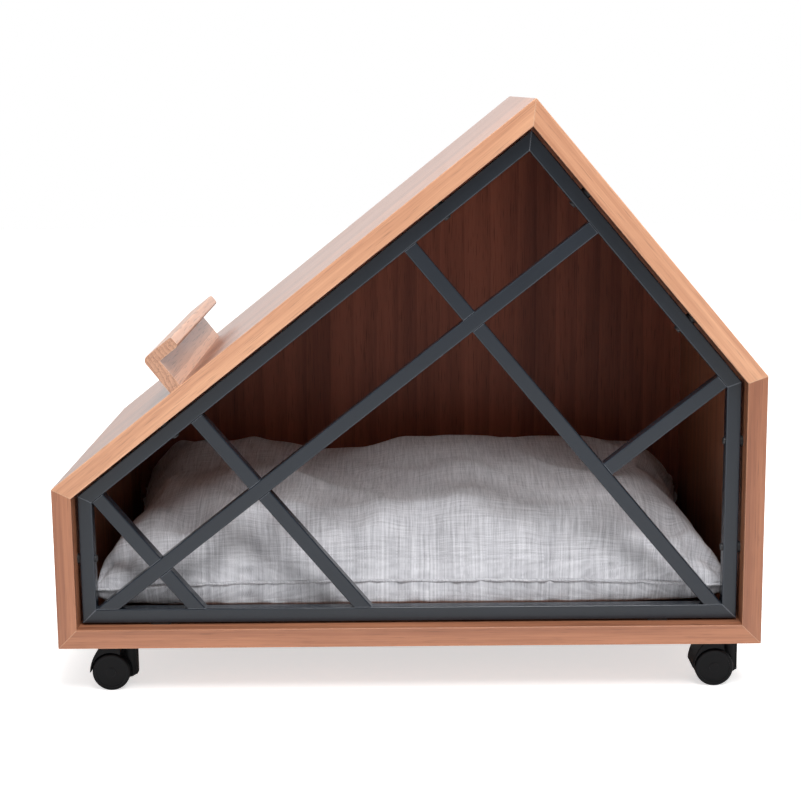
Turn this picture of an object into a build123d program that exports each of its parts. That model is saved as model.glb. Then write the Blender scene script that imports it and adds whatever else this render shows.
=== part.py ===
from build123d import *
import os
from math import atan2, cos, degrees, radians, sin, tan

# A house-shaped dog bed on casters: a mitred wooden shell, open at the front,
# with a welded steel grille in the opening, a loose cushion and a pull handle.
# Frame: x to the right, y from the front to the back, z up, in millimetres.
# The origin is on the floor, under the middle of the whole bed.

# driving dimensions of the shell
width = 730.0
depth = 455.0
left_height = 170.0  # from the underside of the floor panel to the left eave
right_height = 281.0
apex_height = 560.0
apex_from_left = 495.0
panel = 20.0
band = 2.0  # solid wood strip glued on the panels' edges
arris = 0.8  # rounding on the strips' long edges
corner_rounding = 1.2  # easing of the shell's five outer corners
mitre_gap = 0.2  # glue line that shows between two strips
back_thickness = 12.0
back_inset = 3.0
groove_depth = 6.0
spline_width = 16.0
spline_thickness = 4.0
spline_margin = 20.0

# driving dimensions of the grille
tube = 15.0
tube_wall = 1.5
tube_radius = 1.5
grille_setback = 18.0
side_gap = 3.0
bottom_gap = 2.0
rising_angle = 38.0
falling_angle = 50.3
second_bar_spacing = 134.0  # between the centre lines of the two left falling bars

# driving dimensions of the handle, in the plane of the left roof
handle_from_eave = 160.0
handle_height = 44.0
handle_reach = 37.5
handle_leg = 13.0
handle_cap = 12.0
handle_length = 355.0
handle_setback = 2.0
handle_nose_rounding = 3.0
handle_shoulder_rounding = 6.0
handle_screw_shares = (0.1, 0.37, 0.63, 0.9)  # along the handle's length

# driving dimensions of the cushion
cushion_width = 676.0
cushion_depth = 396.0
cushion_height = 118.0
cushion_front = 38.0
cushion_corner_radius = 45.0
cushion_top_rounding = 42.0
cushion_bottom_rounding = 14.0
cover_thickness = 1.5
soft_clearance = 0.3

# driving dimensions of the casters
caster_height = 55.0
wheel_radius = 20.0
wheel_width = 12.5
trail = 18.0
left_stem_from_side = 67.0
right_stem_from_side = 25.0
stem_from_front = 45.0
plate_size = 38.0
plate_thickness = 2.5
plate_hole_spacing = 28.0
plate_rounding = 4.0
boss_radius = 9.5
boss_thickness = 2.0
stem_radius = 3.5
stem_length = 31.0
stem_bore_length = 33.0
stem_head_radius = 6.0
stem_head_thickness = 1.0
stem_tip_chamfer = 0.8
axle_radius = 2.5
axle_length = 34.0
axle_end_gap = 0.3
running_clearance = 0.06
outer_tread_rounding = 2.0
inner_tread_rounding = 1.0
face_recess_radius = 16.5
face_recess_depth = 0.7
face_boss_radius = 5.0
wheel_room = 1.5  # between the wheel's tread and its hood
web_half = 5.5
wheel_side_gap = 0.5
hood_half = 18.0
hood_rounding = 1.2
hood_lip = 1.2  # thickness at the hood's tip
hood_gap = 0.5  # between the plate's boss and the hood
hood_flat_end = 8.0  # where the flat top ends, ahead of the axle
hood_curve_ahead = 18.2  # a point on the hood's long curve, ahead of and above the axle
hood_curve_above = 16.7
barrel_radius = 8.0
barrel_drop = 14.0  # below the axle, before its foot is cut on the slant
heel_behind = 1.2  # the low end of the slanted foot, behind the swivel axis
heel_drop = 9.0
heel_rise = 3.0
web_drop = 10.0  # the web's lowest point, below the axle
web_toe_back = 6.0
web_toe_ahead = 9.0
web_toe_drop = 7.0
web_curve_ahead = 17.5
web_curve_above = 14.0

# fasteners
screw_radius = 2.0
screw_head_radius = 3.8
screw_head_height = 2.2
caster_screw_length = 16.0
handle_screw_length = 48.0
grille_screw_bite = 14.0
spacer_radius = 6.0
screw_head_rounding = 1.2
pad_length = 20.0
pad_width = 13.0
pad_shares = (0.12, 0.88)  # along the grille's bottom rail

# helpers for cutting and for picking edges
cutter = 100.0  # blocks and rods that only cut
cut_margin = 1.0
tolerance = 0.01
parallel = 0.999
right_angle = radians(90)

x_left = -width / 2
x_right = width / 2
y_front = -depth / 2
y_back = depth / 2
z_base = caster_height

os.makedirs("parts", exist_ok=True)


def save(node, shape):
    export_step(shape, f"parts/{node}.step")


def group(solids):
    return Compound(children=list(solids))


# plane geometry in x and z

def line_through(point, angle):
    # a line as its unit direction and its signed distance from the origin
    direction = (cos(angle), sin(angle))
    normal = (-direction[1], direction[0])
    return direction, normal[0] * point[0] + normal[1] * point[1]


def meet(first, second):
    (a, b), p = first
    (c, d), q = second
    # the two normals are (-b, a) and (-d, c)
    det = -b * c + a * d
    return ((p * c - a * q) / det, (-b * q + d * p) / det)


def inset(points, distances):
    # the same closed outline, each side moved inwards by its own distance
    count = len(points)
    sides = []
    for i in range(count):
        start = points[i]
        end = points[(i + 1) % count]
        direction, offset = line_through(start, atan2(end[1] - start[1], end[0] - start[0]))
        sides.append((direction, offset + distances[i]))
    return [meet(sides[i - 1], sides[i]) for i in range(count)]


def prism(points, y_start, y_end):
    outline = Polyline(*[(x, y_start, z) for x, z in points], close=True)
    return extrude(make_face(outline), amount=y_end - y_start, dir=(0, 1, 0))


def side(outer, inner, i):
    j = (i + 1) % len(outer)
    return [outer[i], outer[j], inner[j], inner[i]]


def toward(point, angle, distance):
    return (point[0] + distance * cos(angle), point[1] + distance * sin(angle))


# the shell's outline, anticlockwise from the bottom left corner seen from the front
outline = [
    (x_left, z_base),
    (x_right, z_base),
    (x_right, z_base + right_height),
    (x_left + apex_from_left, z_base + apex_height),
    (x_left, z_base + left_height),
]
side_names = ["floor_panel", "right_wall", "right_roof", "left_roof", "left_wall"]
inner_outline = inset(outline, [panel] * 5)
roof_angle = atan2(apex_height - left_height, apex_from_left)
right_roof_angle = atan2(apex_height - right_height, apex_from_left - width)


# casters: every shape is made around the swivel axis, with z = 0 at the panel's underside

def screw(head_radius, head_height, length):
    # countersunk, head at z = 0, pointing up
    head = Cone(head_radius, screw_radius, head_height, align=(Align.CENTER, Align.CENTER, Align.MIN))
    shank = Cylinder(screw_radius, length, align=(Align.CENTER, Align.CENTER, Align.MIN))
    return head + shank


def caster_screws():
    one = screw(screw_head_radius, screw_head_height, caster_screw_length)
    half = plate_hole_spacing / 2
    return [Pos(x, y, -plate_thickness) * one for x in (-half, half) for y in (-half, half)]


def caster_stem():
    head = Cylinder(stem_head_radius, stem_head_thickness,
                    align=(Align.CENTER, Align.CENTER, Align.MAX))
    shank = Cylinder(stem_radius, stem_length, align=(Align.CENTER, Align.CENTER, Align.MAX))
    tip = shank.edges().sort_by(Axis.Z)[0]
    return head + chamfer(tip, stem_tip_chamfer)


def caster_plate():
    plate = Box(plate_size, plate_size, plate_thickness, align=(Align.CENTER, Align.CENTER, Align.MAX))
    plate = fillet(plate.edges().filter_by(Axis.Z), plate_rounding)
    boss = Cylinder(boss_radius, plate_thickness + boss_thickness,
                    align=(Align.CENTER, Align.CENTER, Align.MAX))
    plate = plate + boss - caster_stem()
    for one in caster_screws():
        plate = plate - one
    return plate


def wheel_axis_at():
    return (-trail, wheel_radius - caster_height)


def caster_housing():
    axle_x, axle_z = wheel_axis_at()
    top = -plate_thickness - boss_thickness - hood_gap
    room_radius = wheel_radius + wheel_room
    tip_x = axle_x - room_radius - hood_lip
    flat_end_x = axle_x - hood_flat_end
    # side outline of the hood: flat top, a long curve to the tip over the wheel
    flat_top = Line((barrel_radius, 0, top), (flat_end_x, 0, top))
    front_curve = ThreePointArc(
        (flat_end_x, 0, top),
        (axle_x - hood_curve_ahead, 0, axle_z + hood_curve_above),
        (tip_x, 0, axle_z),
    )
    under = Polyline((tip_x, 0, axle_z), (barrel_radius, 0, axle_z), (barrel_radius, 0, top))
    hood = extrude(make_face(flat_top + front_curve + under), amount=hood_half, dir=(0, 1, 0), both=True)
    rim = [e for e in hood.edges() if abs(abs(e.center().Y) - hood_half) < tolerance]
    outer_rim = [e for e in rim if e.center().Z > axle_z + arris and e.center().X < barrel_radius - arris]
    hood = fillet(outer_rim, hood_rounding)
    ahead_of_barrel = Box(cutter, cutter, cutter, align=(Align.MAX, Align.CENTER, Align.CENTER))
    hood = hood & (Pos(-barrel_radius, 0, 0) * ahead_of_barrel)
    # thin web between the wheels, from the hood down past the axle to the barrel's foot
    web = prism([
        (tip_x + web_toe_back, axle_z),
        (axle_x - web_toe_ahead, axle_z - web_toe_drop),
        (axle_x, axle_z - web_drop),
        (heel_behind, axle_z - heel_drop),
        (barrel_radius, axle_z - heel_drop + heel_rise),
        (barrel_radius, top),
        (flat_end_x, top),
        (axle_x - web_curve_ahead, axle_z + web_curve_above),
    ], -web_half, web_half)
    barrel = Pos(0, 0, top) * Cylinder(barrel_radius, top - axle_z + barrel_drop,
                                       align=(Align.CENTER, Align.CENTER, Align.MAX))
    slant = degrees(atan2(heel_rise, barrel_radius - heel_behind))
    below = Pos(heel_behind, 0, axle_z - heel_drop) * Rot(0, -slant, 0)
    below = below * Box(cutter, cutter, cutter, align=(Align.CENTER, Align.CENTER, Align.MAX))
    body = hood + (barrel - below)
    for direction in (-1, 1):
        room = Cylinder(room_radius, cutter, rotation=(90, 0, 0))
        body = body - Pos(axle_x, direction * (web_half + cutter / 2), axle_z) * room
    body = body + web
    bore = Cylinder(stem_radius + running_clearance, stem_bore_length,
                    align=(Align.CENTER, Align.CENTER, Align.MAX))
    hole = Pos(axle_x, 0, axle_z) * Cylinder(axle_radius, cutter, rotation=(90, 0, 0))
    return body - bore - hole


def caster_axle():
    axle_x, axle_z = wheel_axis_at()
    return Pos(axle_x, 0, axle_z) * Cylinder(axle_radius, axle_length, rotation=(90, 0, 0))


def caster_wheel(direction):
    # direction is -1 for the front wheel of the pair and +1 for the rear one
    axle_x, axle_z = wheel_axis_at()
    inner = web_half + wheel_side_gap
    outer = inner + wheel_width
    wheel = Cylinder(wheel_radius, wheel_width, align=(Align.CENTER, Align.CENTER, Align.MIN))
    wheel = fillet(wheel.edges().sort_by(Axis.Z)[-1], outer_tread_rounding)
    wheel = fillet(wheel.edges().sort_by(Axis.Z)[0], inner_tread_rounding)
    recess = Cylinder(face_recess_radius, face_recess_depth, align=(Align.CENTER, Align.CENTER, Align.MAX))
    boss = Cylinder(face_boss_radius, face_recess_depth, align=(Align.CENTER, Align.CENTER, Align.MAX))
    wheel = wheel - Pos(0, 0, wheel_width) * (recess - boss)
    bore_depth = axle_length / 2 + axle_end_gap - inner
    wheel = wheel - Cylinder(axle_radius + running_clearance, bore_depth,
                             align=(Align.CENTER, Align.CENTER, Align.MIN))
    turned = Rot(-90 * direction, 0, 0) * (Pos(0, 0, outer - wheel_width) * wheel)
    return Pos(axle_x, 0, axle_z) * turned


caster_places = {
    "front_left": (x_left + left_stem_from_side, y_front + stem_from_front),
    "front_right": (x_right - right_stem_from_side, y_front + stem_from_front),
    "rear_left": (x_left + left_stem_from_side, y_back - stem_from_front),
    "rear_right": (x_right - right_stem_from_side, y_back - stem_from_front),
}
caster_parts = {
    "plate": caster_plate(),
    "stem": caster_stem(),
    "housing": caster_housing(),
    "axle": caster_axle(),
    "wheel_front": caster_wheel(-1),
    "wheel_rear": caster_wheel(1),
}
all_caster_screws = []
for place, (x, y) in caster_places.items():
    for name, shape in caster_parts.items():
        save(f"{place}_caster_{name}", Pos(x, y, z_base) * shape)
    for one in caster_screws():
        all_caster_screws.append(Pos(x, y, z_base) * one)
save("caster_screws", group(all_caster_screws))


# grille: a mitred rectangular-tube frame that follows the opening, with crossing bars inside

grille_gaps = [bottom_gap] + [side_gap] * 4
frame_outer = inset(inner_outline, grille_gaps)
frame_inner = inset(frame_outer, [tube] * 5)
y_grille = y_front + grille_setback
y_grille_back = y_grille + tube


def hollow_tube(outer_points, inner_points, direction_angle):
    # both outlines are four-sided; the second is the bore, which runs out at both ends
    body = prism(outer_points, y_grille, y_grille_back)
    along = Vector(cos(direction_angle), 0, sin(direction_angle))
    long_edges = [e for e in body.edges() if abs(e.tangent_at(0.5).dot(along)) > parallel]
    body = fillet(long_edges, tube_radius)
    return body - prism(inner_points, y_grille + tube_wall, y_grille_back - tube_wall)


rail_names = ["grille_bottom_rail", "grille_right_stile", "grille_right_top_rail",
              "grille_left_top_rail", "grille_left_stile"]
rail_angles = [0.0, right_angle, right_roof_angle, roof_angle, right_angle]
bore_outer = inset(frame_outer, [tube_wall] * 5)
bore_inner = inset(frame_outer, [tube - tube_wall] * 5)
rails = {}
for i, name in enumerate(rail_names):
    rails[name] = hollow_tube(side(frame_outer, frame_inner, i), side(bore_outer, bore_inner, i),
                              rail_angles[i])

bottom_left, bottom_right, right_eave, apex, left_eave = frame_inner
rising = radians(rising_angle)
falling = radians(-falling_angle)
bar_reach = 900.0
half_tube = tube / 2


def strip(point, angle, half):
    start = toward(point, angle, -bar_reach)
    end = toward(point, angle, bar_reach)
    square = angle + right_angle
    return [toward(start, square, -half), toward(end, square, -half),
            toward(end, square, half), toward(start, square, half)]


# a point on the centre line of each bar: the long ones start in the frame's corners
long_rising = toward(bottom_left, rising - right_angle, half_tube)
long_falling = toward(bottom_right, falling - right_angle, half_tube)
left_falling = toward(left_eave, falling + right_angle, half_tube)
middle_falling = toward(left_falling, falling + right_angle, second_bar_spacing)
short_rising = toward(right_eave, rising + right_angle, half_tube)


def bar(point, angle):
    return hollow_tube(strip(point, angle, half_tube), strip(point, angle, half_tube - tube_wall), angle)


def solid_strip(point, angle):
    return prism(strip(point, angle, half_tube), y_grille - cut_margin, y_grille_back + cut_margin)


opening = prism(frame_inner, y_grille - cut_margin, y_grille_back + cut_margin)
rising_cut = solid_strip(long_rising, rising)
falling_cut = solid_strip(long_falling, falling)


def upper_and_lower(point):
    pieces = (bar(point, falling) & opening) - rising_cut
    ordered = pieces.solids().sort_by(Axis.Z)
    return ordered[-1], ordered[0]


bars = {"grille_long_rising_bar": bar(long_rising, rising) & opening}
falling_points = {"right": long_falling, "middle": middle_falling, "left": left_falling}
for name, point in falling_points.items():
    upper, lower = upper_and_lower(point)
    bars[f"grille_{name}_falling_bar_upper"] = upper
    bars[f"grille_{name}_falling_bar_lower"] = lower
short = (bar(short_rising, rising) & opening) - falling_cut
bars["grille_short_rising_bar"] = short.solids().sort_by(Axis.X)[-1]


# screws through the frame's rails and their spacers into the shell

def grille_screw(outer_point, angle):
    # outer_point lies on the frame's outer face; angle is the outward direction
    y_middle = (y_grille + y_grille_back) / 2
    place = Location(Plane((outer_point[0], y_middle, outer_point[1]), z_dir=(cos(angle), 0, sin(angle))))
    length = screw_head_height + tube + side_gap + grille_screw_bite
    head = Cylinder(screw_head_radius, screw_head_height, align=(Align.CENTER, Align.CENTER, Align.MIN))
    head = fillet(head.edges().sort_by(Axis.Z)[0], screw_head_rounding)
    shank = Cylinder(screw_radius, length, align=(Align.CENTER, Align.CENTER, Align.MIN))
    fixing = Pos(0, 0, -tube - screw_head_height) * (head + shank)
    spacer = Cylinder(spacer_radius, side_gap, align=(Align.CENTER, Align.CENTER, Align.MIN))
    spacer = spacer - Cylinder(screw_radius, cutter)
    return place * fixing, place * spacer


def along_side(i, share):
    start = frame_outer[i]
    end = frame_outer[(i + 1) % 5]
    return (start[0] + share * (end[0] - start[0]), start[1] + share * (end[1] - start[1]))


grille_screw_places = {
    "grille_right_stile": (0.3, 0.75),
    "grille_right_top_rail": (0.25, 0.75),
    "grille_left_top_rail": (0.2, 0.8),
    "grille_left_stile": (0.5,),
}
grille_screws = []
grille_spacers = []
for name, shares in grille_screw_places.items():
    i = rail_names.index(name)
    start = frame_outer[i]
    end = frame_outer[(i + 1) % 5]
    outward = atan2(end[1] - start[1], end[0] - start[0]) - right_angle
    for share in shares:
        fixing, spacer = grille_screw(along_side(i, share), outward)
        grille_screws.append(fixing)
        grille_spacers.append(spacer)
        rails[name] = rails[name] - fixing
for share in pad_shares:
    x, z = along_side(0, share)
    pad = Box(pad_length, pad_width, bottom_gap, align=(Align.CENTER, Align.CENTER, Align.MAX))
    grille_spacers.append(Pos(x, (y_grille + y_grille_back) / 2, z) * pad)

for name, shape in {**rails, **bars}.items():
    save(name, shape)
save("grille_screws", group(grille_screws))
save("grille_spacers", group(grille_spacers))


# handle: an L-shaped rail on the left roof, with its hollow facing up the slope

roof_foot = outline[4]


def on_roof(up_slope, off_roof):
    return toward(toward(roof_foot, roof_angle, up_slope), roof_angle + right_angle, off_roof)


def handle_rail():
    s = handle_from_eave
    profile = [
        on_roof(s, 0),
        on_roof(s + handle_leg, 0),
        on_roof(s + handle_leg, handle_height - handle_cap),
        on_roof(s + handle_reach, handle_height - handle_cap),
        on_roof(s + handle_reach, handle_height),
        on_roof(s, handle_height),
    ]
    start = y_front + handle_setback
    rail = prism(profile, start, start + handle_length)
    lengthwise = rail.edges().filter_by(Axis.Y)

    def nearest(point):
        return lengthwise.sort_by_distance((point[0], start + handle_length / 2, point[1]))[0]

    back_corner = nearest(profile[5])
    nose = [nearest(profile[3]), nearest(profile[4])]
    rail = fillet(nose, handle_nose_rounding)
    lengthwise = rail.edges().filter_by(Axis.Y)
    shoulder = lengthwise.sort_by_distance(back_corner.center())[0]
    return fillet(shoulder, handle_shoulder_rounding)


handle_screws = []
for share in handle_screw_shares:
    x, z = on_roof(handle_from_eave + handle_leg / 2, -panel)
    y = y_front + handle_setback + share * handle_length
    fixing = screw(screw_head_radius, screw_head_height, handle_screw_length)
    place = Location(Plane((x, y, z), z_dir=(-sin(roof_angle), 0, cos(roof_angle))))
    handle_screws.append(place * fixing)
handle = handle_rail()
for fixing in handle_screws:
    handle = handle - fixing
save("handle", handle)
save("handle_screws", group(handle_screws))


# shell: five mitred panels, splines in their joints, strips on their edges, a back in a groove

def corner_spline(i):
    # lies across the mitre, half in each panel
    outer_corner = outline[i]
    inner_corner = inner_outline[i]
    x = (outer_corner[0] + inner_corner[0]) / 2
    z = (outer_corner[1] + inner_corner[1]) / 2
    mitre_angle = atan2(inner_corner[1] - outer_corner[1], inner_corner[0] - outer_corner[0])
    length = depth - 2 * spline_margin - back_thickness - back_inset - groove_depth
    place = Pos(x, y_front + spline_margin + length / 2, z) * Rot(0, -degrees(mitre_angle), 0)
    return place * Box(spline_thickness, length, spline_width)


eased_block = prism(outline, y_front, y_back)
eased_block = fillet(eased_block.edges().filter_by(Axis.Y), corner_rounding)
splines = [corner_spline(i) for i in range(5)]
for fixing in all_caster_screws:
    splines[1] = splines[1] - fixing
back_outline = inset(outline, [panel - groove_depth] * 5)
y_back_face = y_back - back_inset
back_panel = prism(back_outline, y_back_face - back_thickness, y_back_face)
panels = {}
for i, name in enumerate(side_names):
    board = prism(side(outline, inner_outline, i), y_front + band, y_back - band)
    board = board - back_panel - splines[i] - splines[(i + 1) % 5]
    panels[name] = board & eased_block
for fixing in all_caster_screws:
    for name in ("floor_panel", "right_wall"):
        panels[name] = panels[name] - fixing
for fixing in handle_screws:
    panels["left_roof"] = panels["left_roof"] - fixing
for fixing in grille_screws:
    for name in side_names[1:]:
        panels[name] = panels[name] - fixing
for name, board in panels.items():
    save(name, board)
save("back_panel", back_panel)
save("mitre_splines", group(splines))


def edge_strip(i, y_start, y_end, y_show):
    # a strip on one panel's edge; y_show is its visible face, whose long edges are rounded
    corners = side(outline, inner_outline, i)
    angle = atan2(corners[1][1] - corners[0][1], corners[1][0] - corners[0][0])
    shorter = [
        toward(corners[0], angle, mitre_gap / 2),
        toward(corners[1], angle, -mitre_gap / 2),
        toward(corners[2], angle, -mitre_gap / 2),
        toward(corners[3], angle, mitre_gap / 2),
    ]
    body = prism(shorter, y_start, y_end)
    along = Vector(cos(angle), 0, sin(angle))
    shown = [e for e in body.edges()
             if abs(e.tangent_at(0.5).dot(along)) > parallel and abs(e.center().Y - y_show) < tolerance]
    return fillet(shown, arris) & eased_block


strip_names = ["front_edge_floor", "front_edge_right_wall", "front_edge_right_roof",
               "front_edge_left_roof", "front_edge_left_wall"]
for i, name in enumerate(strip_names):
    save(name, edge_strip(i, y_front, y_front + band, y_front))
save("rear_edge_strips", group(edge_strip(i, y_back - band, y_back, y_back) for i in range(5)))


# cushion: a sewn cover over its filling

def pillow(trim):
    body = Box(cushion_width - 2 * trim, cushion_depth - 2 * trim, cushion_height - 2 * trim)
    body = fillet(body.edges().filter_by(Axis.Z), cushion_corner_radius - trim)
    body = fillet(body.faces().sort_by(Axis.Z)[-1].edges(), cushion_top_rounding - trim)
    return fillet(body.faces().sort_by(Axis.Z)[0].edges(), cushion_bottom_rounding - trim)


cushion_place = Pos(0, y_front + cushion_front + cushion_depth / 2,
                    z_base + panel + soft_clearance + cushion_height / 2)
filling = pillow(cover_thickness)
save("cushion_cover", cushion_place * (pillow(0) - filling))
save("cushion_filling", cushion_place * filling)
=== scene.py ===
import bmesh
import bpy
import math
from mathutils import Matrix, Vector, noise


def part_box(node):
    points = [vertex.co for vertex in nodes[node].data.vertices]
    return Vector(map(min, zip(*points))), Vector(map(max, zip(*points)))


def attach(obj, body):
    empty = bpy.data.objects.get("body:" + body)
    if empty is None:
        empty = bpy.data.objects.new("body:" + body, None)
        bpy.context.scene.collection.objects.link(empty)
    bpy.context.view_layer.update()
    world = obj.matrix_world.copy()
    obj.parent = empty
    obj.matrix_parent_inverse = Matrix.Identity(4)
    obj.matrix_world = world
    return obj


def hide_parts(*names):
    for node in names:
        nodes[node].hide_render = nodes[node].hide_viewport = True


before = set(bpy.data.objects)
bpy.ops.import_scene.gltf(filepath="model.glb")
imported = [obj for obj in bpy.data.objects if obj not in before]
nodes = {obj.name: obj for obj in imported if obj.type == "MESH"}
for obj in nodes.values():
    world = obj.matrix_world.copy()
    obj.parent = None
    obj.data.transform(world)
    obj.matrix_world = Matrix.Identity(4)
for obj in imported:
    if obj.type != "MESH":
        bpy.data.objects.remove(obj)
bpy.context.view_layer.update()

scene = bpy.context.scene
print("frame loaded")


# small helpers for building shader trees

def addNode(tree, kind, values=None, **settings):
    made = tree.nodes.new(kind)
    for key, value in settings.items():
        setattr(made, key, value)
    for key, value in (values or {}).items():
        made.inputs[key].default_value = value
    return made


def wire(tree, source, target):
    tree.links.new(source, target)


def newGroup(name, inputs, outputs):
    # inputs and outputs are (name, kind, default) rows
    tree = bpy.data.node_groups.new(name, "ShaderNodeTree")
    for label, kind, default in inputs:
        socket = tree.interface.new_socket(label, in_out="INPUT", socket_type=kind)
        if default is not None:
            socket.default_value = default
    for label, kind, _ in outputs:
        tree.interface.new_socket(label, in_out="OUTPUT", socket_type=kind)
    start = tree.nodes.new("NodeGroupInput")
    end = tree.nodes.new("NodeGroupOutput")
    return tree, start, end


def useGroup(tree, group, values=None):
    made = tree.nodes.new("ShaderNodeGroup")
    made.node_tree = group
    for key, value in (values or {}).items():
        made.inputs[key].default_value = value
    return made


def maths(tree, operation, first, second=None, clamp=False):
    made = addNode(tree, "ShaderNodeMath", operation=operation, use_clamp=clamp)
    for index, value in enumerate((first, second)):
        if value is None:
            continue
        if isinstance(value, (int, float)):
            made.inputs[index].default_value = value
        else:
            wire(tree, value, made.inputs[index])
    return made.outputs[0]


def mixColor(tree, factor, first, second, blend="MIX"):
    made = addNode(tree, "ShaderNodeMix", data_type="RGBA", blend_type=blend)
    for index, value in ((0, factor), (6, first), (7, second)):
        if isinstance(value, (int, float, tuple)):
            made.inputs[index].default_value = value
        else:
            wire(tree, value, made.inputs[index])
    return made.outputs[2]


def remap(tree, value, low, high, newLow=0.0, newHigh=1.0):
    made = addNode(tree, "ShaderNodeMapRange",
                   {"From Min": low, "From Max": high, "To Min": newLow, "To Max": newHigh})
    wire(tree, value, made.inputs["Value"])
    return made.outputs[0]


def stretched(tree, vector, scale):
    made = addNode(tree, "ShaderNodeVectorMath", operation="MULTIPLY")
    made.inputs[1].default_value = scale
    wire(tree, vector, made.inputs[0])
    return made.outputs[0]


def noiseOf(tree, vector, scale=1.0, detail=3.0, roughness=0.55, distortion=0.0):
    made = addNode(tree, "ShaderNodeTexNoise", {"Scale": scale, "Detail": detail,
                                                "Roughness": roughness, "Distortion": distortion})
    wire(tree, vector, made.inputs["Vector"])
    return made.outputs["Fac"]


# grain of sliced boards: x of the vector runs along the grain, in metres

def makeBoardGrain():
    tree, start, end = newGroup("boardGrain", [
        ("Vector", "NodeSocketVector", None),
        ("Light", "NodeSocketColor", (0.5, 0.3, 0.2, 1)),
        ("Dark", "NodeSocketColor", (0.2, 0.1, 0.05, 1)),
        ("Figure", "NodeSocketFloat", 0.5),
        ("Streaks", "NodeSocketFloat", 0.5),
        ("Pores", "NodeSocketFloat", 0.5),
    ], [("Color", "NodeSocketColor", None), ("Pore", "NodeSocketFloat", None),
        ("Tone", "NodeSocketFloat", None)])
    vector = start.outputs["Vector"]
    broad = noiseOf(tree, stretched(tree, vector, (1.6, 15, 15)), 1.0, 3.0, 0.5, 0.6)
    wave = addNode(tree, "ShaderNodeTexWave", {"Scale": 1.0, "Distortion": 7.0, "Detail": 2.0,
                                              "Detail Scale": 0.55, "Detail Roughness": 0.55},
                   wave_type="BANDS", bands_direction="Y", wave_profile="SAW")
    wire(tree, stretched(tree, vector, (0.9, 11, 11)), wave.inputs["Vector"])
    figure = maths(tree, "MULTIPLY", wave.outputs["Fac"], start.outputs["Figure"])
    fine = noiseOf(tree, stretched(tree, vector, (5, 190, 190)), 1.0, 3.0, 0.6)
    hair = noiseOf(tree, stretched(tree, vector, (12, 620, 620)), 1.0, 2.0, 0.6)
    streak = maths(tree, "ADD", maths(tree, "MULTIPLY", fine, 0.65), maths(tree, "MULTIPLY", hair, 0.35))
    streak = maths(tree, "MULTIPLY", maths(tree, "SUBTRACT", streak, 0.5), start.outputs["Streaks"])
    tone = maths(tree, "ADD", maths(tree, "MULTIPLY", broad, 0.9), streak)
    tone = maths(tree, "SUBTRACT", tone, maths(tree, "MULTIPLY", figure, 0.45))
    tone = remap(tree, tone, 0.12, 0.72)
    color = mixColor(tree, tone, start.outputs["Dark"], start.outputs["Light"])
    pore = noiseOf(tree, stretched(tree, vector, (38, 1100, 1100)), 1.0, 1.0, 0.5)
    pore = maths(tree, "MULTIPLY", remap(tree, pore, 0.60, 0.72), start.outputs["Pores"], clamp=True)
    color = mixColor(tree, pore, color, (0.05, 0.02, 0.012, 1))
    wire(tree, color, end.inputs["Color"])
    wire(tree, pore, end.inputs["Pore"])
    wire(tree, tone, end.inputs["Tone"])
    return tree


# eased edges, found by comparing the surface's normal with a rounded one; the mask lightens them as
# rubbing on wood, nylon and zinc, and on the steel tubes as a painted highlight

def makeEdgeWearAndHighlight():
    tree, start, end = newGroup("edgeWearAndHighlight", [
        ("Vector", "NodeSocketVector", None),
        ("Reach", "NodeSocketFloat", 0.001),
        ("Amount", "NodeSocketFloat", 1.0),
        ("Patchiness", "NodeSocketFloat", 0.5),
    ], [("Mask", "NodeSocketFloat", None)])
    rounded = addNode(tree, "ShaderNodeBevel", samples=4)
    wire(tree, start.outputs["Reach"], rounded.inputs["Radius"])
    surface = addNode(tree, "ShaderNodeNewGeometry")
    compare = addNode(tree, "ShaderNodeVectorMath", operation="DOT_PRODUCT")
    wire(tree, rounded.outputs["Normal"], compare.inputs[0])
    wire(tree, surface.outputs["Normal"], compare.inputs[1])
    edge = remap(tree, compare.outputs["Value"], 0.995, 0.86)
    patch = noiseOf(tree, start.outputs["Vector"], 55.0, 4.0, 0.6)
    patch = remap(tree, patch, 0.3, 0.7)
    patch = maths(tree, "SUBTRACT", 1.0, maths(tree, "MULTIPLY", maths(tree, "SUBTRACT", 1.0, patch),
                                               start.outputs["Patchiness"]))
    mask = maths(tree, "MULTIPLY", edge, patch)
    mask = maths(tree, "MULTIPLY", mask, start.outputs["Amount"], clamp=True)
    wire(tree, mask, end.inputs["Mask"])
    return tree


# slight unevenness shared by paint, lacquer and moulded plastic

def makeSurfaceTexture():
    tree, start, end = newGroup("surfaceTexture", [
        ("Vector", "NodeSocketVector", None),
        ("Grit Size", "NodeSocketFloat", 900.0),
        ("Patch Size", "NodeSocketFloat", 14.0),
        ("Roughness", "NodeSocketFloat", 0.4),
        ("Spread", "NodeSocketFloat", 0.08),
    ], [("Roughness", "NodeSocketFloat", None), ("Height", "NodeSocketFloat", None),
        ("Patch", "NodeSocketFloat", None)])
    grit = addNode(tree, "ShaderNodeTexNoise", {"Detail": 2.0, "Roughness": 0.5})
    patch = addNode(tree, "ShaderNodeTexNoise", {"Detail": 4.0, "Roughness": 0.6})
    for made, size in ((grit, "Grit Size"), (patch, "Patch Size")):
        wire(tree, start.outputs["Vector"], made.inputs["Vector"])
        wire(tree, start.outputs[size], made.inputs["Scale"])
    offset = maths(tree, "SUBTRACT", patch.outputs["Fac"], 0.5)
    offset = maths(tree, "MULTIPLY", offset, start.outputs["Spread"])
    offset = maths(tree, "MULTIPLY", offset, 2.0)
    rough = maths(tree, "ADD", start.outputs["Roughness"], offset, clamp=True)
    wire(tree, rough, end.inputs["Roughness"])
    wire(tree, grit.outputs["Fac"], end.inputs["Height"])
    wire(tree, patch.outputs["Fac"], end.inputs["Patch"])
    return tree


boardGrain = makeBoardGrain()
edgeWearAndHighlight = makeEdgeWearAndHighlight()
surfaceTexture = makeSurfaceTexture()


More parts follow.
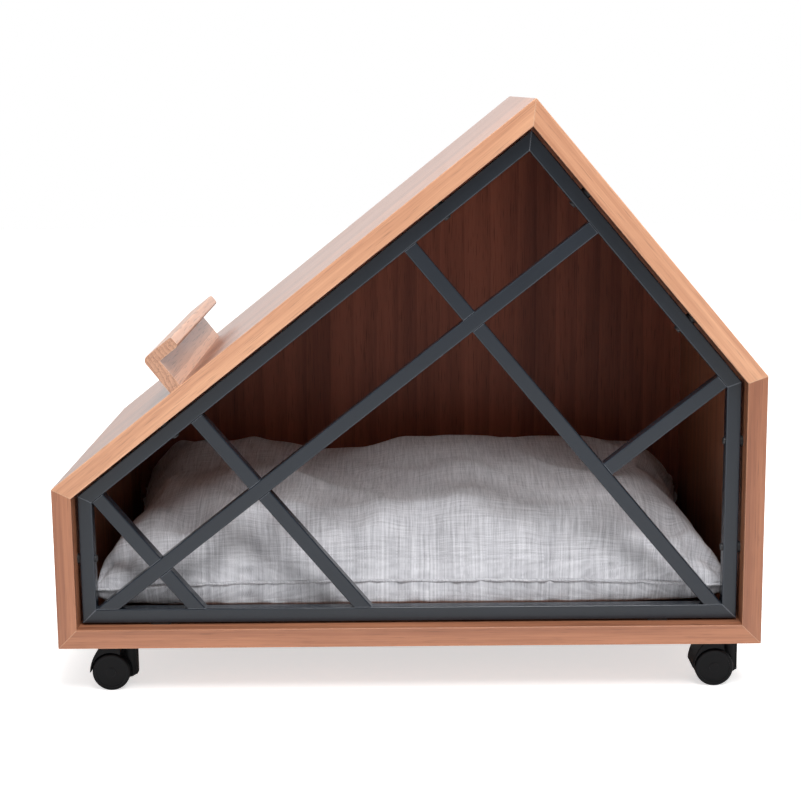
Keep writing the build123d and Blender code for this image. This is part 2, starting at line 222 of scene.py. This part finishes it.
def newMaterial(name, viewColor):
    material = bpy.data.materials.new(name)
    material.use_nodes = True
    material.diffuse_color = (*viewColor, 1)
    tree = material.node_tree
    tree.nodes.clear()
    shader = addNode(tree, "ShaderNodeBsdfPrincipled")
    output = addNode(tree, "ShaderNodeOutputMaterial")
    wire(tree, shader.outputs[0], output.inputs[0])
    return material, tree, shader


def finishNode(name, material):
    made = nodes[name]
    made.data.materials.clear()
    made.data.materials.append(material)


def grainVector(tree, direction, across, offset):
    # turns object coordinates so that x runs along direction and y along across
    place = addNode(tree, "ShaderNodeTexCoord").outputs["Object"]
    parts = []
    third = Vector(direction).cross(Vector(across))
    for axis in (Vector(direction), Vector(across), third):
        made = addNode(tree, "ShaderNodeVectorMath", operation="DOT_PRODUCT")
        wire(tree, place, made.inputs[0])
        made.inputs[1].default_value = axis
        parts.append(made.outputs["Value"])
    joined = addNode(tree, "ShaderNodeCombineXYZ")
    for index in range(3):
        wire(tree, maths(tree, "ADD", parts[index], offset[index]), joined.inputs[index])
    return joined.outputs[0], place


def bumpFrom(tree, shader, height, strength, distance):
    bump = addNode(tree, "ShaderNodeBump", {"Strength": strength, "Distance": distance})
    wire(tree, height, bump.inputs["Height"])
    wire(tree, bump.outputs[0], shader.inputs["Normal"])


# wood of the shell

shellWood = {
    "light": (0.47, 0.20, 0.108, 1),
    "dark": (0.20, 0.075, 0.04, 1),
    "figure": 0.42,
    "streaks": 0.65,
    "pores": 0.55,
    "roughness": 0.34,
    "roughnessSpread": 0.05,
    "coat": 0.12,
    "coatRoughness": 0.3,
    "shine": 0.25,
}
roofWood = {**shellWood, "coat": 0.8, "coatRoughness": 0.42, "shine": 0.5}
# darker copy of the shell veneer for the back panel: painted shade for the dim back of the cabin, which
# the light from the front hardly reaches
shadedBackWood = {
    **shellWood,
    "light": (0.34, 0.102, 0.058, 1),
    "dark": (0.10, 0.026, 0.016, 1),
    "figure": 0.3,
    "streaks": 0.35,
    "coat": 0.0,
    "shine": 0.12,
}
stripWood = {
    "light": (0.47, 0.195, 0.098, 1),
    "dark": (0.25, 0.088, 0.042, 1),
    "figure": 0.45,
    "streaks": 1.1,
    "pores": 0.28,
    "roughness": 0.42,
    "roughnessSpread": 0.05,
    "coat": 0.25,
    "coatRoughness": 0.25,
    "shine": 0.5,
    "arris": (0.84, 0.52, 0.33, 1),
}

# lighter copy of the edge strip wood, arris included, for the sloping roof strips: painted light, where
# these upward-facing strips catch the light from above
litSlopeStripWood = {
    **stripWood,
    "light": (0.74, 0.40, 0.235, 1),
    "dark": (0.46, 0.205, 0.11, 1),
    "arris": (0.93, 0.66, 0.46, 1),
}


def woodMaterial(name, look, direction, across, offset, arris=None):
    material, tree, shader = newMaterial(name, look["light"][:3])
    vector, place = grainVector(tree, direction, across, offset)
    grain = useGroup(tree, boardGrain, {
        "Light": look["light"], "Dark": look["dark"], "Figure": look["figure"],
        "Streaks": look["streaks"], "Pores": look["pores"],
    })
    wire(tree, vector, grain.inputs["Vector"])
    color = grain.outputs["Color"]
    wearAndHighlight = useGroup(tree, edgeWearAndHighlight, {"Reach": 0.0011, "Amount": 0.6, "Patchiness": 0.35})
    wire(tree, place, wearAndHighlight.inputs["Vector"])
    color = mixColor(tree, wearAndHighlight.outputs["Mask"], color, arris or look["light"])
    wire(tree, color, shader.inputs["Base Color"])
    lacquer = useGroup(tree, surfaceTexture, {
        "Grit Size": 420.0, "Patch Size": 9.0,
        "Roughness": look["roughness"], "Spread": look["roughnessSpread"],
    })
    wire(tree, place, lacquer.inputs["Vector"])
    poreRoughness = maths(tree, "MULTIPLY", grain.outputs["Pore"], 0.2)
    rough = maths(tree, "ADD", lacquer.outputs["Roughness"], poreRoughness)
    wire(tree, rough, shader.inputs["Roughness"])
    depthOfGrain = maths(tree, "ADD", maths(tree, "MULTIPLY", grain.outputs["Pore"], -1.0),
                         maths(tree, "MULTIPLY", grain.outputs["Tone"], 0.25))
    bumpFrom(tree, shader, depthOfGrain, 0.35, 0.00025)
    shader.inputs["Coat Weight"].default_value = look["coat"]
    shader.inputs["Coat Roughness"].default_value = look["coatRoughness"]
    shader.inputs["Specular IOR Level"].default_value = look["shine"]
    return material


def slopeOf(name):
    # direction of a sloping board in x and z, from its box
    low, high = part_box(name)
    return Vector((high[0] - low[0], 0, high[2] - low[2])).normalized()


leftSlope = slopeOf("front_edge_left_roof")
low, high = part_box("front_edge_right_roof")
rightSlope = Vector((high[0] - low[0], 0, low[2] - high[2])).normalized()
upright = Vector((0, 0, 1))
along = Vector((1, 0, 0))
inward = Vector((0, 1, 0))
boards = {
    "floor_panel": (along, (0.3, 0.1, 0.0)),
    "left_wall": (upright, (1.1, 0.45, 0.2)),
    "left_roof": (leftSlope, (2.3, 0.9, 0.4)),
    "right_roof": (rightSlope, (3.7, 1.6, 0.7)),
    "right_wall": (upright, (5.2, 2.3, 0.1)),
}
for name, (direction, offset) in boards.items():
    look = roofWood if name.endswith("_roof") else shellWood
    finishNode(name, woodMaterial(f"veneer_{name}", look, direction, inward, offset))
# the back panel takes the darker copy of the veneer, which is painted shade
finishNode("back_panel", woodMaterial("veneer_back_shaded", shadedBackWood, upright, along, (7.3, 3.3, 0.5)))
strips = {
    "front_edge_floor": (along, (0.7, 0.2, 0.35)),
    "front_edge_left_wall": (upright, (1.9, 0.6, 0.15)),
    "front_edge_left_roof": (leftSlope, (2.9, 1.2, 0.55)),
    "front_edge_right_roof": (rightSlope, (4.1, 1.9, 0.25)),
    "front_edge_right_wall": (upright, (5.9, 2.6, 0.45)),
}
for name, (direction, offset) in strips.items():
    # the sloping roof strips take the lighter copy, which is painted light
    look = litSlopeStripWood if name.endswith("_roof") else stripWood
    across = direction.cross(inward)
    finishNode(name, woodMaterial(f"strip_{name}", look, direction, across, offset, look["arris"]))
finishNode("rear_edge_strips", woodMaterial("strip_rear", stripWood, along, upright, (6.6, 3.1, 0.3),
                                            stripWood["arris"]))
finishNode("mitre_splines", woodMaterial("splines", stripWood, inward, upright, (8.6, 0.1, 0.3)))
print("shell finished")


# the handle is solid timber: growth rings show as arcs on its end and as long lines on its sides

handleWood = {
    "light": (0.58, 0.32, 0.205, 1),
    "dark": (0.29, 0.128, 0.075, 1),
    "arris": (0.86, 0.56, 0.38, 1),
    "ringSpacing": 0.0042,
    "heart": (-0.33, 0, 0.30),
    "roughness": 0.36,
    "coat": 0.3,
    "coatRoughness": 0.3,
}


def handleMaterial():
    look = handleWood
    material, tree, shader = newMaterial("handle_timber", look["light"][:3])
    place = addNode(tree, "ShaderNodeTexCoord").outputs["Object"]
    centred = addNode(tree, "ShaderNodeVectorMath", operation="SUBTRACT")
    wire(tree, place, centred.inputs[0])
    centred.inputs[1].default_value = look["heart"]
    flat = stretched(tree, centred.outputs[0], (1, 0.02, 1))
    wobble = noiseOf(tree, stretched(tree, place, (40, 3, 40)), 1.0, 3.0, 0.5)
    radius = addNode(tree, "ShaderNodeVectorMath", operation="LENGTH")
    wire(tree, flat, radius.inputs[0])
    rings = maths(tree, "DIVIDE", radius.outputs["Value"], look["ringSpacing"])
    rings = maths(tree, "ADD", rings, maths(tree, "MULTIPLY", wobble, 1.3))
    ring = maths(tree, "FRACT", rings)
    ring = maths(tree, "POWER", ring, 2.2)
    pore = noiseOf(tree, stretched(tree, place, (900, 25, 900)), 1.0, 1.0, 0.5)
    pore = remap(tree, pore, 0.58, 0.70, 0.0, 0.6)
    streak = noiseOf(tree, stretched(tree, place, (240, 6, 240)), 1.0, 3.0, 0.6)
    tone = maths(tree, "SUBTRACT", maths(tree, "ADD", 0.55, maths(tree, "MULTIPLY", streak, 0.6)),
                 maths(tree, "MULTIPLY", ring, 0.6), clamp=True)
    color = mixColor(tree, tone, look["dark"], look["light"])
    color = mixColor(tree, pore, color, (0.12, 0.05, 0.03, 1))
    wearAndHighlight = useGroup(tree, edgeWearAndHighlight, {"Reach": 0.0012, "Amount": 0.5, "Patchiness": 0.4})
    wire(tree, place, wearAndHighlight.inputs["Vector"])
    color = mixColor(tree, wearAndHighlight.outputs["Mask"], color, look["arris"])
    wire(tree, color, shader.inputs["Base Color"])
    lacquer = useGroup(tree, surfaceTexture, {"Grit Size": 420.0, "Patch Size": 12.0,
                                              "Roughness": look["roughness"], "Spread": 0.05})
    wire(tree, place, lacquer.inputs["Vector"])
    wire(tree, lacquer.outputs["Roughness"], shader.inputs["Roughness"])
    height = maths(tree, "ADD", maths(tree, "MULTIPLY", pore, -1.0), maths(tree, "MULTIPLY", ring, -0.3))
    bumpFrom(tree, shader, height, 0.4, 0.0003)
    shader.inputs["Coat Weight"].default_value = look["coat"]
    shader.inputs["Coat Roughness"].default_value = look["coatRoughness"]
    return material


finishNode("handle", handleMaterial())
print("handle finished")


# powder-coated steel of the grille, moulded caster parts, plated metal

steelCoat = {
    "color": (0.013, 0.0175, 0.025, 1),
    # pale edge colour and its amount: on the powder coat a painted highlight along the rounded tube edges
    "wornAndHighlightColor": (0.36, 0.40, 0.46, 1),
    "roughness": 0.24,
    "spread": 0.05,
    "gritSize": 1500.0,
    "grit": 0.1,
    "wearAndHighlight": 0.5,
    "coat": 0.0,
    "shine": 0.42,
    "reach": 0.0013,
}
blackNylon = {
    "color": (0.0075, 0.0075, 0.0085, 1),
    "wornAndHighlightColor": (0.03, 0.03, 0.032, 1),
    "roughness": 0.5,
    "spread": 0.09,
    "gritSize": 2600.0,
    "grit": 0.35,
    "wearAndHighlight": 0.3,
    "shine": 0.12,
}
wheelNylon = {
    "color": (0.006, 0.006, 0.007, 1),
    "wornAndHighlightColor": (0.045, 0.045, 0.047, 1),
    "roughness": 0.42,
    "spread": 0.12,
    "gritSize": 1900.0,
    "grit": 0.18,
    "wearAndHighlight": 0.45,
    "shine": 0.14,
}
spacerNylon = {
    "color": (0.008, 0.008, 0.009, 1),
    "wornAndHighlightColor": (0.012, 0.012, 0.013, 1),
    "roughness": 0.55,
    "spread": 0.08,
    "gritSize": 1500.0,
    "grit": 0.2,
    "wearAndHighlight": 0.2,
}
zincPlate = {
    "color": (0.60, 0.59, 0.56, 1),
    "wornAndHighlightColor": (0.75, 0.74, 0.72, 1),
    "roughness": 0.33,
    "spread": 0.14,
    "gritSize": 1200.0,
    "grit": 0.12,
    "wearAndHighlight": 0.5,
    "metallic": 1.0,
}
screwBlack = {
    "color": (0.02, 0.02, 0.022, 1),
    "wornAndHighlightColor": (0.05, 0.05, 0.052, 1),
    "roughness": 0.38,
    "spread": 0.08,
    "gritSize": 1500.0,
    "grit": 0.12,
    "wearAndHighlight": 0.6,
}


def coatedMaterial(name, look):
    material, tree, shader = newMaterial(name, look["color"][:3])
    place = addNode(tree, "ShaderNodeTexCoord").outputs["Object"]
    texture = useGroup(tree, surfaceTexture, {"Grit Size": look["gritSize"], "Patch Size": 18.0,
                                              "Roughness": look["roughness"], "Spread": look["spread"]})
    wire(tree, place, texture.inputs["Vector"])
    wearAndHighlight = useGroup(tree, edgeWearAndHighlight, {"Reach": look.get("reach", 0.0007), "Amount": look["wearAndHighlight"],
                                     "Patchiness": 0.4})
    wire(tree, place, wearAndHighlight.inputs["Vector"])
    shade = remap(tree, texture.outputs["Patch"], 0.25, 0.75, 0.88, 1.12)
    tinted = addNode(tree, "ShaderNodeVectorMath", operation="SCALE")
    tinted.inputs[0].default_value = look["color"][:3]
    wire(tree, shade, tinted.inputs["Scale"])
    # edges mixed towards the edge colour: rubbing on nylon, zinc and screws, and on the steel tubes a
    # painted highlight
    color = mixColor(tree, wearAndHighlight.outputs["Mask"], tinted.outputs[0], look["wornAndHighlightColor"])
    wire(tree, color, shader.inputs["Base Color"])
    wire(tree, texture.outputs["Roughness"], shader.inputs["Roughness"])
    bumpFrom(tree, shader, texture.outputs["Height"], look["grit"], 0.00012)
    shader.inputs["Metallic"].default_value = look.get("metallic", 0.0)
    shader.inputs["Coat Weight"].default_value = look.get("coat", 0.0)
    shader.inputs["Coat Roughness"].default_value = 0.16
    shader.inputs["Specular IOR Level"].default_value = look.get("shine", 0.5)
    return material


steel = coatedMaterial("powder_coat", steelCoat)
hoodPlastic = coatedMaterial("caster_hood", blackNylon)
wheelPlastic = coatedMaterial("caster_wheel", wheelNylon)
spacerPlastic = coatedMaterial("spacer", spacerNylon)
zinc = coatedMaterial("zinc_plate", zincPlate)
blackScrew = coatedMaterial("black_screw", screwBlack)
for name in nodes:
    if name.startswith("grille_"):
        finishNode(name, steel)
    elif name.endswith("_housing"):
        finishNode(name, hoodPlastic)
    elif "_wheel_" in name:
        finishNode(name, wheelPlastic)
    elif name.endswith(("_plate", "_stem", "_axle")):
        finishNode(name, zinc)
finishNode("grille_screws", blackScrew)
finishNode("grille_spacers", spacerPlastic)
finishNode("caster_screws", zinc)
finishNode("handle_screws", zinc)
print("metal and plastic finished")


# linen for the cushion: two sets of uneven threads, one over the other

linen = {
    "light": (0.80, 0.80, 0.84, 1),
    "dark": (0.24, 0.24, 0.27, 1),
    "threadPitch": 0.00085,
    "slub": 0.75,
    "sheen": 0.25,
}


def makeLinenWeave():
    tree, start, end = newGroup("linenWeave", [
        ("Vector", "NodeSocketVector", None),
        ("Thread Pitch", "NodeSocketFloat", 0.001),
        ("Slub", "NodeSocketFloat", 0.5),
        ("Light", "NodeSocketColor", (0.7, 0.7, 0.7, 1)),
        ("Dark", "NodeSocketColor", (0.3, 0.3, 0.3, 1)),
    ], [("Color", "NodeSocketColor", None), ("Height", "NodeSocketFloat", None)])
    apart = addNode(tree, "ShaderNodeSeparateXYZ")
    wire(tree, start.outputs["Vector"], apart.inputs[0])
    turns = maths(tree, "DIVIDE", math.tau / 2, start.outputs["Thread Pitch"])
    warp = maths(tree, "ABSOLUTE", maths(tree, "SINE", maths(tree, "MULTIPLY", apart.outputs[0], turns)))
    weft = maths(tree, "ABSOLUTE", maths(tree, "SINE", maths(tree, "MULTIPLY", apart.outputs[1], turns)))
    vector = start.outputs["Vector"]
    warpTone = noiseOf(tree, stretched(tree, vector, (1050, 40, 0)), 1.0, 2.0, 0.6)
    weftTone = noiseOf(tree, stretched(tree, vector, (40, 1050, 0)), 1.0, 2.0, 0.6)
    warpSlub = noiseOf(tree, stretched(tree, vector, (360, 12, 0)), 1.0, 3.0, 0.65)
    weftSlub = noiseOf(tree, stretched(tree, vector, (12, 360, 0)), 1.0, 3.0, 0.65)
    over = addNode(tree, "ShaderNodeTexChecker", {"Scale": 1.0})
    wire(tree, vector, over.inputs["Vector"])
    wire(tree, maths(tree, "DIVIDE", 1.0, start.outputs["Thread Pitch"]), over.inputs["Scale"])
    thread = maths(tree, "ADD", maths(tree, "MULTIPLY", warpTone, over.outputs["Fac"]),
                   maths(tree, "MULTIPLY", weftTone, maths(tree, "SUBTRACT", 1.0, over.outputs["Fac"])))
    weftSlub = maths(tree, "ADD", maths(tree, "MULTIPLY", weftSlub, 0.6), 0.2)
    slub = maths(tree, "MULTIPLY", maths(tree, "SUBTRACT", maths(tree, "ADD", warpSlub, weftSlub), 1.0),
                 start.outputs["Slub"])
    tone = maths(tree, "ADD", maths(tree, "MULTIPLY", maths(tree, "SUBTRACT", thread, 0.5), 1.5),
                 maths(tree, "MULTIPLY", slub, 1.6))
    tone = maths(tree, "ADD", tone, 0.62, clamp=True)
    wire(tree, mixColor(tree, tone, start.outputs["Dark"], start.outputs["Light"]), end.inputs["Color"])
    height = maths(tree, "ADD", maths(tree, "MULTIPLY", warp, over.outputs["Fac"]),
                   maths(tree, "MULTIPLY", weft, maths(tree, "SUBTRACT", 1.0, over.outputs["Fac"])))
    height = maths(tree, "ADD", height, maths(tree, "MULTIPLY", slub, 2.2))
    wire(tree, height, end.inputs["Height"])
    return tree


linenWeave = makeLinenWeave()


def linenMaterial():
    material, tree, shader = newMaterial("linen", linen["light"][:3])
    cloth = addNode(tree, "ShaderNodeUVMap", uv_map="cloth")
    weave = useGroup(tree, linenWeave, {"Thread Pitch": linen["threadPitch"], "Slub": linen["slub"],
                                        "Light": linen["light"], "Dark": linen["dark"]})
    wire(tree, cloth.outputs[0], weave.inputs["Vector"])
    wire(tree, weave.outputs["Color"], shader.inputs["Base Color"])
    shader.inputs["Roughness"].default_value = 0.92
    shader.inputs["Sheen Weight"].default_value = linen["sheen"]
    shader.inputs["Sheen Roughness"].default_value = 0.5
    shader.inputs["Specular IOR Level"].default_value = 0.2
    bumpFrom(tree, shader, weave.outputs["Height"], 0.55, 0.0004)
    return material


# cushion: two panels sewn round the edge, swollen by pressure, resting flat on the cabin's floor

cushionShape = {
    "halfWidth": 0.336,
    "halfDepth": 0.197,
    "seamHeight": 0.042,
    "backLift": 0.022,  # how much higher the sewn edge lies at the back than at the front
    "crown": 0.082,
    "crownAtFront": 0.86,
    "crownGainToBack": 0.24,
    "squareness": 3.2,
    "sidesPullIn": 0.035,
    "endsPullIn": 0.045,
    "undersideRoundness": 0.6,
    "clothStretch": (1.12, 1.25),  # cloth is longer than the plan, because it curves over
    "crowding": 0.9,  # brings the grid's lines closer together towards the edges
    "rise": 0.010,  # the filled middle stands above the plain solid
    "columns": 112,
    "rows": 66,
    "pressure": 4.0,
    "growth": -0.05,
    "frames": 26,
    "mostMove": 0.026,
    "seamRadius": 0.0019,
    "seamSides": 8,
    "roundness": 0.3,  # how squarely the crown fills out towards its edges
    "fadeFromEdge": 0.05,
    "foldsStart": 0.05,  # folds begin this far above the cushion's underside
    "gatherFade": 0.03,
    "slump": 0.014,
    "gather": 0.012,
}
pinches = [  # place, radius and lift of the pulled-up corners and pressed-in creases
    {"place": (-0.296, 0.178), "radius": 0.030, "lift": 0.020},
    {"place": (0.300, 0.176), "radius": 0.034, "lift": 0.008},
    {"place": (0.284, -0.128), "radius": 0.022, "lift": -0.022},
    {"place": (-0.236, -0.120), "radius": 0.026, "lift": -0.022},
    {"place": (-0.060, 0.020), "radius": 0.075, "lift": -0.016},
    {"place": (0.120, -0.070), "radius": 0.060, "lift": -0.009},
    {"place": (-0.175, -0.050), "radius": 0.026, "lift": -0.022},
    {"place": (0.235, 0.030), "radius": 0.040, "lift": -0.010},
]


def cushionGrid(shape, baseHeight, middle):
    # the same grid twice, top and bottom, sharing the seam; the cloth coordinates are in metres
    columns, rows = shape["columns"], shape["rows"]
    crowding, square = shape["crowding"], shape["squareness"]
    edge = math.sin(crowding / 2 * math.pi)
    stretch = shape["clothStretch"]
    made = bmesh.new()
    cloth = made.loops.layers.uv.new("cloth")
    grids = {}
    for level in ("top", "bottom"):
        for i in range(columns + 1):
            for j in range(rows + 1):
                onSeam = i in (0, columns) or j in (0, rows)
                if level == "bottom" and onSeam:
                    grids[level, i, j] = grids["top", i, j]
                    continue
                u = math.sin((i / columns - 0.5) * math.pi * crowding) / edge
                v = math.sin((j / rows - 0.5) * math.pi * crowding) / edge
                filled = max(0.0, (1 - abs(u) ** square) * (1 - abs(v) ** square))
                roundness = filled ** shape["roundness"]
                lean = (v + 1) / 2
                seamHeight = shape["seamHeight"] + shape["backLift"] * lean
                pull = 1 - shape["sidesPullIn"] * (1 - v * v) * abs(u) ** 3
                pullDeep = 1 - shape["endsPullIn"] * (1 - u * u) * abs(v) ** 3
                x = middle[0] + shape["halfWidth"] * u * pull
                y = middle[1] + shape["halfDepth"] * v * pullDeep
                if level == "top":
                    fullness = shape["crownAtFront"] + shape["crownGainToBack"] * lean
                    z = baseHeight + seamHeight + shape["crown"] * roundness * fullness
                else:
                    z = baseHeight + seamHeight * (1 - roundness ** shape["undersideRoundness"])
                grids[level, i, j] = made.verts.new((x, y, z))
        for i in range(columns):
            for j in range(rows):
                corners = [grids[level, i, j], grids[level, i + 1, j],
                           grids[level, i + 1, j + 1], grids[level, i, j + 1]]
                if level == "bottom":
                    corners.reverse()
                face = made.faces.new(corners)
                face.smooth = True
                for loop in face.loops:
                    place = loop.vert.co
                    loop[cloth].uv = (place.x * stretch[0], place.y * stretch[1])
    seam = [grids["top", i, 0] for i in range(columns)]
    seam += [grids["top", columns, j] for j in range(rows)]
    seam += [grids["top", i, rows] for i in range(columns, 0, -1)]
    seam += [grids["top", 0, j] for j in range(rows, 0, -1)]
    made.verts.index_update()
    seamIndex = [vert.index for vert in seam]
    resting = [grids["bottom", i, j].index for i in range(3, columns - 2) for j in range(3, rows - 2)]
    mesh = bpy.data.meshes.new("cushion")
    made.to_mesh(mesh)
    made.free()
    piece = bpy.data.objects.new("cushion", mesh)
    scene.collection.objects.link(piece)
    return piece, seamIndex, resting


def swell(piece, resting, shape):
    group = piece.vertex_groups.new(name="resting")
    group.add(resting, 1.0, "REPLACE")
    start = [vert.co.copy() for vert in piece.data.vertices]
    cloth = piece.modifiers.new("swell", "CLOTH")
    settings = cloth.settings
    settings.quality = 6
    settings.mass = 0.25
    settings.tension_stiffness = 12
    settings.compression_stiffness = 12
    settings.shear_stiffness = 5
    settings.bending_stiffness = 0.6
    settings.use_pressure = True
    settings.uniform_pressure_force = shape["pressure"]
    settings.shrink_min = shape["growth"]
    settings.vertex_group_mass = "resting"
    settings.effector_weights.gravity = 0
    cloth.collision_settings.use_collision = False
    cloth.collision_settings.use_self_collision = False
    scene.frame_start = 1
    scene.frame_end = shape["frames"]
    for number in range(1, shape["frames"] + 1):
        scene.frame_set(number)
    seen = piece.evaluated_get(bpy.context.evaluated_depsgraph_get())
    places = [vert.co.copy() for vert in seen.data.vertices]
    piece.modifiers.remove(cloth)
    scene.frame_set(1)
    for vert, old, new in zip(piece.data.vertices, start, places):
        move = new - old
        if move.length > shape["mostMove"]:
            move = move.normalized() * shape["mostMove"]
        vert.co = old + move


def fitInside(piece, low, high):
    # stretches the swollen cushion to the length, depth and height of its plain solid
    places = [vert.co for vert in piece.data.vertices]
    for axis in range(3):
        least = min(place[axis] for place in places)
        most = max(place[axis] for place in places)
        scale = (high[axis] - low[axis]) / (most - least)
        for place in places:
            place[axis] = low[axis] + (place[axis] - least) * scale


def rumple(piece, shape, low, high):
    # broad slumped folds on top, small gathers that fade away from the sewn edge, and the pinches
    for vert in piece.data.vertices:
        x, y, z = vert.co
        fromEdge = min(x - low[0], high[0] - x, y - low[1], high[1] - y)
        onTop = min(1.0, max(0.0, (z - low[2] - shape["foldsStart"]) / 0.03))
        onTop *= min(1.0, fromEdge / shape["fadeFromEdge"])
        fold = noise.noise(Vector((x * 6, y * 8, 3.1))) + 0.4 * noise.noise(Vector((x * 17, y * 13, 8.2)))
        ridge = 1 - abs(noise.noise(Vector((x * 11 + y * 6, y * 9, 5.7)))) * 4
        lift = shape["slump"] * (fold + 0.35 * max(0.0, ridge))
        for pinch in pinches:
            away = math.hypot(x - pinch["place"][0], y - pinch["place"][1]) / pinch["radius"]
            lift += pinch["lift"] * math.exp(-away * away)
        vert.co.z += lift * onTop
        gather = noise.noise(Vector((x * 38, y * 38, z * 9))) * math.exp(-fromEdge / shape["gatherFade"])
        inwardly = Vector((-x, (low[1] + high[1]) / 2 - y, 0)).normalized()
        above = min(1.0, (z - low[2]) / 0.02)
        vert.co += inwardly * (shape["gather"] * abs(gather) * above)


def makeSeam(piece, seamIndex, shape):
    # a thin welt that follows the sewn edge all the way round
    sides = shape["seamSides"]
    path = [piece.data.vertices[index].co.copy() for index in seamIndex]
    made = bmesh.new()
    cloth = made.loops.layers.uv.new("cloth")
    rings = []
    for index, place in enumerate(path):
        tangent = (path[(index + 1) % len(path)] - path[index - 1]).normalized()
        outward = tangent.cross(Vector((0, 0, 1))).normalized()
        above = outward.cross(tangent)
        ring = []
        for turn in range(sides):
            angle = math.tau * turn / sides
            offset = outward * math.cos(angle) + above * math.sin(angle)
            ring.append(made.verts.new(place + offset * shape["seamRadius"]))
        rings.append(ring)
    for index, ring in enumerate(rings):
        following = rings[(index + 1) % len(rings)]
        for turn in range(sides):
            after = (turn + 1) % sides
            face = made.faces.new((ring[turn], ring[after], following[after], following[turn]))
            face.smooth = True
            for loop, across in zip(face.loops, (turn, turn + 1, turn + 1, turn)):
                loop[cloth].uv = (loop.vert.co.x + loop.vert.co.y, across * 0.0015)
    made.normal_update()
    mesh = bpy.data.meshes.new("cushion_seam")
    made.to_mesh(mesh)
    made.free()
    seam = bpy.data.objects.new("cushion_seam", mesh)
    scene.collection.objects.link(seam)
    mesh.materials.append(piece.data.materials[0])
    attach(seam, "root")


def makeCushion():
    shape = cushionShape
    low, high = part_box("cushion_cover")
    middle = ((low[0] + high[0]) / 2, (low[1] + high[1]) / 2)
    piece, seamIndex, resting = cushionGrid(shape, low[2] + 0.001, middle)
    swell(piece, resting, shape)
    fitInside(piece, low, (high[0], high[1], high[2] + shape["rise"]))
    rumple(piece, shape, low, high)
    smooth = piece.modifiers.new("smooth", "SUBSURF")
    smooth.levels = 1
    smooth.render_levels = 1
    piece.data.materials.append(linenMaterial())
    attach(piece, "root")
    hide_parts("cushion_cover", "cushion_filling")
    makeSeam(piece, seamIndex, shape)


makeCushion()
print("cushion finished")


# camera, floor and light

camera = {
    "place": (0.0073, -1.9270, 0.6244),
    "pitch": 10.324,
    "yaw": -0.456,
    "roll": -0.606,
    "focalLength": 76.76,
}


def makeCamera():
    pitch, yaw, roll = (math.radians(camera[key]) for key in ("pitch", "yaw", "roll"))
    forward = Vector((math.sin(yaw) * math.cos(pitch), math.cos(yaw) * math.cos(pitch), -math.sin(pitch)))
    level = Vector((math.cos(yaw), -math.sin(yaw), 0))
    up = level.cross(forward)
    right = level * math.cos(roll) + up * math.sin(roll)
    up = up * math.cos(roll) - level * math.sin(roll)
    data = bpy.data.cameras.new("camera")
    data.lens = camera["focalLength"]
    data.sensor_width = 36
    made = bpy.data.objects.new("camera", data)
    turn = Matrix((right, up, -forward)).transposed().to_4x4()
    made.matrix_world = Matrix.Translation(camera["place"]) @ turn
    scene.collection.objects.link(made)
    scene.camera = made


studio = {
    "floorColor": (0.93, 0.93, 0.93, 1),
    "floorLift": 0.6,  # added where the camera sees the floor, so that it stays pale
    "floorSize": 12.0,
    "skyForLight": 0.5,
    "skySeen": 1.0,
    "backdropReflected": 1.0,
    "roomReflected": 0.3,
    "backdropFade": (-0.2, 0.3),
    "keyPlace": (0.5, -1.9, 2.7),
    "keyPower": 58.0,
    "keySize": 1.2,
    "topPlace": (0.1, -0.35, 2.4),
    "topPower": 40.0,
    "topSize": 0.9,
}


def areaLight(name, place, target, power, size):
    data = bpy.data.lights.new(name, "AREA")
    data.energy = power
    data.shape = "SQUARE"
    data.size = size
    made = bpy.data.objects.new(name, data)
    made.location = place
    aim = Vector(target) - Vector(place)
    made.rotation_euler = aim.to_track_quat("-Z", "Y").to_euler()
    scene.collection.objects.link(made)


def makeStudio():
    size = studio["floorSize"] / 2
    mesh = bpy.data.meshes.new("floor")
    corners = [(-size, -size, 0), (size, -size, 0), (size, size, 0), (-size, size, 0)]
    mesh.from_pydata(corners, [], [(0, 1, 2, 3)])
    floor = bpy.data.objects.new("floor", mesh)
    scene.collection.objects.link(floor)
    material, tree, shader = newMaterial("floor_paint", studio["floorColor"][:3])
    shader.inputs["Base Color"].default_value = studio["floorColor"]
    shader.inputs["Roughness"].default_value = 0.85
    shader.inputs["Specular IOR Level"].default_value = 0.1
    shader.inputs["Emission Color"].default_value = (1, 1, 1, 1)
    direct = addNode(tree, "ShaderNodeLightPath").outputs["Is Camera Ray"]
    wire(tree, maths(tree, "MULTIPLY", direct, studio["floorLift"]), shader.inputs["Emission Strength"])
    mesh.materials.append(material)
    world = bpy.data.worlds.new("studio")
    world.use_nodes = True
    scene.world = world
    tree = world.node_tree
    background = tree.nodes["Background"]
    path = addNode(tree, "ShaderNodeLightPath")
    background.inputs["Color"].default_value = (1, 1, 1, 1)
    extraSeen = studio["skySeen"] - studio["skyForLight"]
    strength = maths(tree, "MULTIPLY", path.outputs["Is Camera Ray"], extraSeen)
    strength = maths(tree, "ADD", strength, studio["skyForLight"])
    # reflections see a white backdrop behind the bed and a dimmer room in front of it
    apart = addNode(tree, "ShaderNodeSeparateXYZ")
    wire(tree, addNode(tree, "ShaderNodeTexCoord").outputs["Generated"], apart.inputs[0])
    mirrored = remap(tree, apart.outputs["Y"], *studio["backdropFade"],
                     studio["roomReflected"], studio["backdropReflected"])
    reflected = maths(tree, "MULTIPLY", path.outputs["Is Glossy Ray"],
                      maths(tree, "SUBTRACT", mirrored, studio["skyForLight"]))
    wire(tree, maths(tree, "ADD", strength, reflected), background.inputs["Strength"])
    areaLight("key", studio["keyPlace"], (0, 0, 0.25), studio["keyPower"], studio["keySize"])
    areaLight("top", studio["topPlace"], (0, 0, 0.2), studio["topPower"], studio["topSize"])
    scene.view_settings.view_transform = "Standard"


makeCamera()
makeStudio()
print("studio finished")
